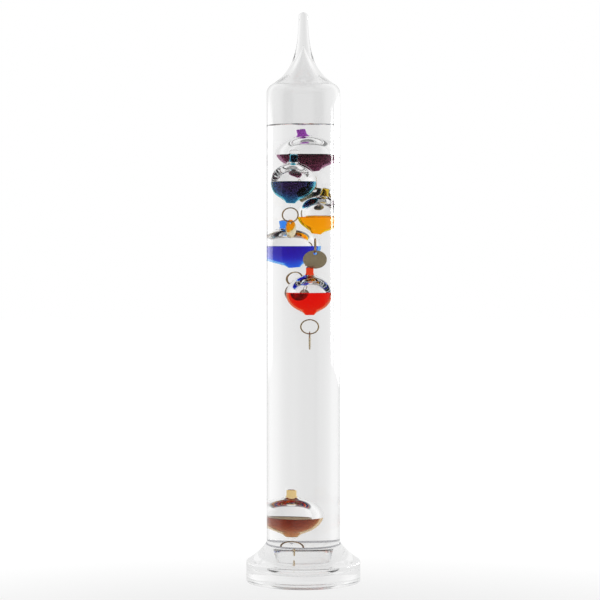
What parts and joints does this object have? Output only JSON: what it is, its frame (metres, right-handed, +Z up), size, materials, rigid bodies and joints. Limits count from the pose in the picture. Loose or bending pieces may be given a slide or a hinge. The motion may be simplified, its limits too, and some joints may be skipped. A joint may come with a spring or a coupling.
{
  "type": "galileo thermometer",
  "caption": "Sealed glass column of clear liquid on a glass foot, holding dyed glass floats that each carry a brass tag on a wire ring and rise or sink with temperature.",
  "frame": {"origin": "centre of the foot's underside, on the resting plane", "axes": "+Z up along the column's axis, +X to the right and +Y to the rear of the viewed side"},
  "size_m": [0.0664, 0.0664, 0.33],
  "materials": {
    "tube_glass": "polished",
    "foot_glass": "polished",
    "clear_liquid": "gloss",
    "bulb_glass": "polished",
    "ring_wire": "satin",
    "tag_brass": "satin",
    "purple_dye": "gloss",
    "teal_dye": "gloss",
    "yellow_dye": "gloss",
    "blue_dye": "gloss",
    "red_dye": "gloss",
    "amber_dye": "gloss"
  },
  "bodies": {
    "column": {"glass_tube": "tube_glass", "glass_foot": "foot_glass", "clear_liquid": "clear_liquid"},
    "purple_float": {"purple_bulb": "bulb_glass", "purple_dye": "purple_dye"},
    "purple_link": {"purple_ring": "ring_wire"},
    "purple_weight": {"purple_tag": "tag_brass"},
    "teal_float": {"teal_bulb": "bulb_glass", "teal_dye": "teal_dye"},
    "teal_link": {"teal_ring": "ring_wire"},
    "teal_weight": {"teal_tag": "tag_brass"},
    "yellow_float": {"yellow_bulb": "bulb_glass", "yellow_dye": "yellow_dye"},
    "yellow_link": {"yellow_ring": "ring_wire"},
    "yellow_weight": {"yellow_tag": "tag_brass"},
    "blue_float": {"blue_bulb": "bulb_glass", "blue_dye": "blue_dye"},
    "blue_link": {"blue_ring": "ring_wire"},
    "blue_weight": {"blue_tag": "tag_brass"},
    "red_float": {"red_bulb": "bulb_glass", "red_dye": "red_dye"},
    "red_link": {"red_ring": "ring_wire"},
    "red_weight": {"red_tag": "tag_brass"},
    "amber_float": {"amber_bulb": "bulb_glass", "amber_dye": "amber_dye"},
    "amber_link": {"amber_ring": "ring_wire"},
    "amber_weight": {"amber_tag": "tag_brass"}
  },
  "joints": [
    {"name": "purple_slide", "type": "slide", "parent": "column", "child": "purple_float", "axis": [0, 0, 1], "range_m": [-0.016, 0], "deforming": ["clear_liquid"]},
    {"name": "teal_slide", "type": "slide", "parent": "purple_float", "child": "teal_float", "axis": [0, 0, 1], "range_m": [-0.018, 0]},
    {"name": "yellow_slide", "type": "slide", "parent": "teal_float", "child": "yellow_float", "axis": [0, 0, 1], "range_m": [-0.02, 0]},
    {"name": "blue_slide", "type": "slide", "parent": "yellow_float", "child": "blue_float", "axis": [0, 0, 1], "range_m": [-0.024, 0]},
    {"name": "red_slide", "type": "slide", "parent": "blue_float", "child": "red_float", "axis": [0, 0, 1], "range_m": [-0.03, 0]},
    {"name": "amber_slide", "type": "slide", "parent": "column", "child": "amber_float", "axis": [0, 0, 1], "range_m": [0, 0.09]},
    {"name": "purple_ring_swing", "type": "hinge", "parent": "purple_float", "child": "purple_link", "pos_m": [0.00364, 0.009, 0.23548], "axis": [0, 1, 0], "range_deg": [-15, 25]},
    {"name": "purple_tag_swing", "type": "hinge", "parent": "purple_link", "child": "purple_weight", "pos_m": [0.00364, 0.009, 0.22738], "axis": [0, 1, 0], "range_deg": [-30, 30]},
    {"name": "teal_ring_swing", "type": "hinge", "parent": "teal_float", "child": "teal_link", "pos_m": [-0.0059, -0.0063, 0.21683], "axis": [0.848, -0.5299, 0], "range_deg": [-15, 4]},
    {"name": "teal_tag_swing", "type": "hinge", "parent": "teal_link", "child": "teal_weight", "pos_m": [-0.0059, -0.0063, 0.20873], "axis": [0.848, -0.5299, 0], "range_deg": [-30, 10]},
    {"name": "yellow_ring_swing", "type": "hinge", "parent": "yellow_float", "child": "yellow_link", "pos_m": [0.00509, -0.0034, 0.19923], "axis": [-0.0523, 0.9986, 0], "range_deg": [-25, 0]},
    {"name": "yellow_tag_swing", "type": "hinge", "parent": "yellow_link", "child": "yellow_weight", "pos_m": [0.00509, -0.0034, 0.19113], "axis": [-0.0523, 0.9986, 0], "range_deg": [-30, 10]},
    {"name": "blue_ring_swing", "type": "hinge", "parent": "blue_float", "child": "blue_link", "pos_m": [-0.00273, 0.0068, 0.17983], "axis": [0.6157, -0.788, 0], "range_deg": [-25, 25]},
    {"name": "blue_tag_swing", "type": "hinge", "parent": "blue_link", "child": "blue_weight", "pos_m": [-0.00273, 0.0068, 0.17173], "axis": [0.6157, -0.788, 0], "range_deg": [-30, 30]},
    {"name": "red_ring_swing", "type": "hinge", "parent": "red_float", "child": "red_link", "pos_m": [0.0029, -0.0064, 0.1526], "axis": [1, 0, 0], "range_deg": [-25, 10]},
    {"name": "red_tag_swing", "type": "hinge", "parent": "red_link", "child": "red_weight", "pos_m": [0.0029, -0.0064, 0.1445], "axis": [1, 0, 0], "range_deg": [-30, 10]},
    {"name": "amber_ring_swing", "type": "hinge", "parent": "amber_float", "child": "amber_link", "pos_m": [-0.004, 0.0072, 0.0233], "axis": [1, 0, 0], "range_deg": [0, 35.1]},
    {"name": "amber_tag_swing", "type": "hinge", "parent": "amber_link", "child": "amber_weight", "pos_m": [-0.004, 0.00255, 0.01666], "axis": [1, 0, 0], "range_deg": [0, 15.1]}
  ],
  "couplings": [
    {"joint": "amber_ring_swing", "follows": "amber_slide", "rad_per_m": 6.7874},
    {"joint": "amber_tag_swing", "follows": "amber_slide", "rad_per_m": 2.9089}
  ]
}
